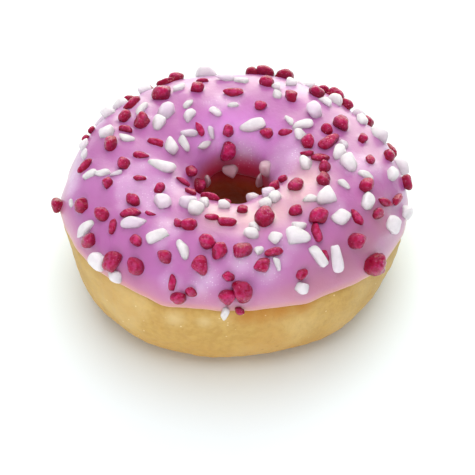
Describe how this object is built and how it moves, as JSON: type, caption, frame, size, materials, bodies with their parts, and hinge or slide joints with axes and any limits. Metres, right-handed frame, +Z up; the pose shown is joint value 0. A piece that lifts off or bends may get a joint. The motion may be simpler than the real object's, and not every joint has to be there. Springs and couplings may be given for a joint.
{
  "type": "iced mini ring doughnut",
  "caption": "Mini ring doughnut: a browned dough ring with a flat foot, lilac-pink icing over its upper half, set with red and white nuggets.",
  "frame": {"origin": "on the surface that the doughnut rests on, under the middle of the ring", "axes": "+Z up through the hole, +X along the ring's longer side, to the right of the picture, -Y towards the picture's viewer"},
  "size_m": [0.0645, 0.0597, 0.0281],
  "materials": {
    "dough": "fried dough, golden tan, dry satin skin with paler and browner patches and fine pits",
    "icing": "set lilac-pink icing, satin and slightly translucent, with small sugar specks",
    "red_nuggets": "dried fruit pieces, deep raspberry red, glossy and wrinkled",
    "white_nuggets": "sugar pieces, milky white, smooth and slightly translucent"
  },
  "bodies": {
    "root": {"dough_ring": "dough", "icing": "icing"}
  },
  "joints": []
}
